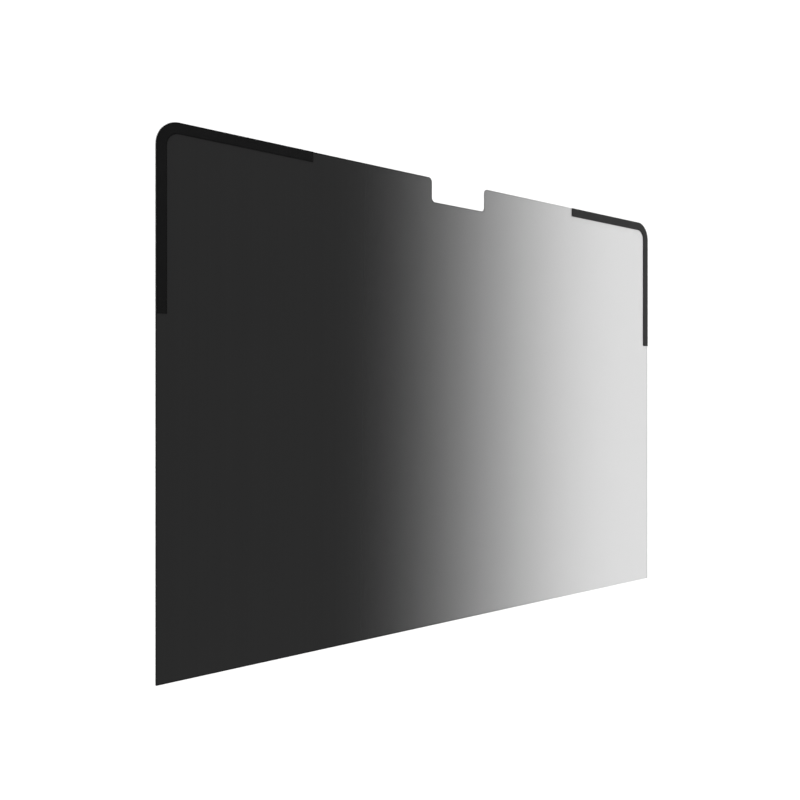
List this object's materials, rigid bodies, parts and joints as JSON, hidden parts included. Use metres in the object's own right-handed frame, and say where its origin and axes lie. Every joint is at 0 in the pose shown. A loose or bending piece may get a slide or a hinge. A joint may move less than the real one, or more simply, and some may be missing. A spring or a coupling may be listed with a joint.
{
  "type": "laptop privacy filter",
  "caption": "Thin dark film sheet that covers a laptop screen, with rounded top corners, a camera notch in the top edge and L-shaped magnetic strips at the top corners.",
  "frame": {"origin": "middle of the sheet's back face, which lies on the surface that the filter rests on", "axes": "+X along the width, to the right as seen from the strip side, +Y towards the notched top edge, +Z out of the face that carries the strips"},
  "size_m": [0.3084, 0.2024, 0.0008],
  "materials": {
    "louvre_film": "dark louvre film between clear skins with a fine matt coat, near black at the left and clearer to the right",
    "magnetic_strip": "matt black flexible magnet with a fine grain",
    "adhesive_tape": "black double-sided adhesive tape"
  },
  "bodies": {
    "root": {"filter_sheet": "louvre_film", "left_magnetic_strip": "magnetic_strip", "right_magnetic_strip": "magnetic_strip", "left_strip_tape": "adhesive_tape", "right_strip_tape": "adhesive_tape"}
  },
  "joints": []
}
